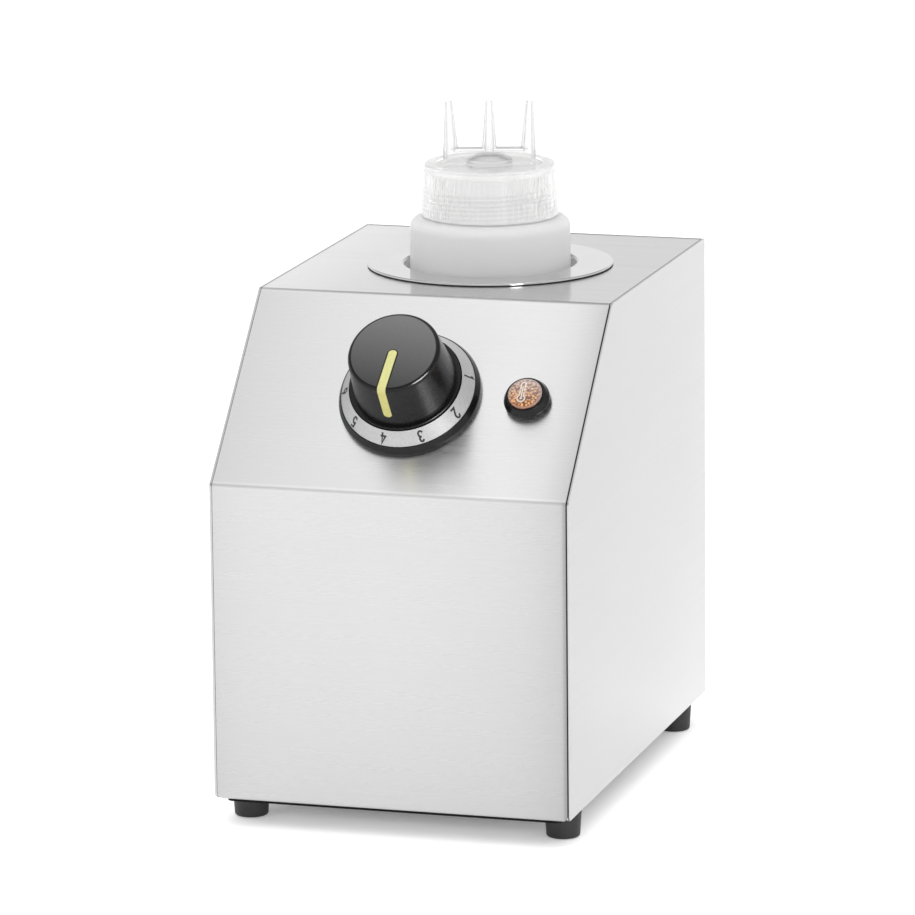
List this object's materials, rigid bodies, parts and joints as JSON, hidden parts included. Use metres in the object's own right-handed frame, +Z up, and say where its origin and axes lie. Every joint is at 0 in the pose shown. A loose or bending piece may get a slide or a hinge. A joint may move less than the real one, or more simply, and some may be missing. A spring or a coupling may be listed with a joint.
{
  "type": "topping warmer",
  "caption": "Countertop warmer in brushed sheet steel with a sloped control panel, and a squeeze bottle with a multi-outlet nozzle standing in its heated well.",
  "frame": {"origin": "on the table, under the middle of the casing", "axes": "+X to the right seen from the front, +Y to the rear, +Z up"},
  "size_m": [0.16, 0.2379, 0.2971],
  "materials": {
    "brushed_steel": "stainless sheet with a fine horizontal brush",
    "polished_steel": "drawn stainless steel, polished",
    "zinc_steel": "bright zinc plate",
    "heater_steel": "dull steel band over mica",
    "black_rubber": "matt black rubber",
    "insulation_fibre": "woven glass fibre",
    "brown_phenolic": "brown moulded phenolic",
    "thermostat_case": "dark moulded case",
    "copper": "bare copper",
    "white_nylon": "off-white nylon",
    "brass": "plain brass",
    "brown_lead": "brown silicone sleeve",
    "red_lead": "red silicone sleeve",
    "blue_lead": "blue silicone sleeve",
    "black_lead": "black sleeve",
    "earth_green": "green and yellow sleeve",
    "black_bakelite": "glossy black moulding",
    "pale_yellow": "pale yellow inlay",
    "satin_silver": "satin silver",
    "amber_lens": "amber lens with a fine grain",
    "clear_glass": "clear glass",
    "milky_plastic": "milky translucent polyethylene",
    "clear_plastic": "clear to milky polyethylene",
    "white_seal": "white food-grade seal"
  },
  "bodies": {
    "casing": {"casing_wrap": "brushed_steel", "left_side_panel": "brushed_steel", "right_side_panel": "brushed_steel", "rear_panel": "brushed_steel", "base_plate": "brushed_steel", "rear_panel_screws": "zinc_steel", "base_plate_screws": "zinc_steel", "foot_front_left": "black_rubber", "foot_front_right": "black_rubber", "foot_rear_left": "black_rubber", "foot_rear_right": "black_rubber", "foot_screws": "zinc_steel", "foot_nuts": "zinc_steel", "well": "polished_steel", "flange_seal": "black_rubber", "well_studs": "zinc_steel", "well_nuts": "zinc_steel", "band_heater": "heater_steel", "heater_clamp_bolt": "zinc_steel", "heater_insulation": "insulation_fibre", "thermal_cutout": "brown_phenolic", "cutout_studs": "zinc_steel", "cutout_nuts": "zinc_steel", "thermostat_body": "thermostat_case", "thermostat_screws": "zinc_steel", "sensor_bulb": "copper", "bulb_clips": "zinc_steel", "capillary_tube": "copper", "terminal_block": "white_nylon", "terminal_screws": "brass", "earth_stud": "brass", "earth_nuts": "brass", "cord_grommet": "black_rubber", "line_lead": "brown_lead", "switched_lead": "red_lead", "cutout_lead": "red_lead", "neutral_lead": "blue_lead", "lamp_leads": "black_lead", "earth_lead": "earth_green", "dial_bezel": "black_bakelite", "dial_scale": "satin_silver", "lamp_bezel": "black_bakelite", "lamp_lens": "amber_lens", "neon_bulb": "clear_glass", "lamp_nut": "black_bakelite"},
    "knob": {"knob": "black_bakelite", "knob_pointer": "pale_yellow", "thermostat_spindle": "zinc_steel"},
    "bottle": {"bottle": "milky_plastic"},
    "nozzle": {"tri_nozzle": "clear_plastic", "cap_seal": "white_seal"},
    "collar": {"bottle_collar": "milky_plastic"}
  },
  "joints": [
    {"name": "knob_turn", "type": "hinge", "parent": "casing", "child": "knob", "pos_m": [0.0001, -0.08064, 0.18676], "axis": [0, -0.7071, 0.7071], "range_deg": [-84, 186]},
    {"name": "bottle_lift", "type": "slide", "parent": "casing", "child": "bottle", "axis": [0, 0, 1], "range_m": [0, 0.185]},
    {"name": "nozzle_rise", "type": "slide", "parent": "bottle", "child": "nozzle", "axis": [0, 0, 1], "range_m": [0, 0.006]},
    {"name": "collar_turn", "type": "hinge", "parent": "nozzle", "child": "collar", "pos_m": [0.0028, 0.034, 0.26], "axis": [0, 0, 1], "range_deg": [0, 540]}
  ],
  "couplings": [
    {"joint": "nozzle_rise", "follows": "collar_turn", "m_per_rad": 0.00063662}
  ]
}
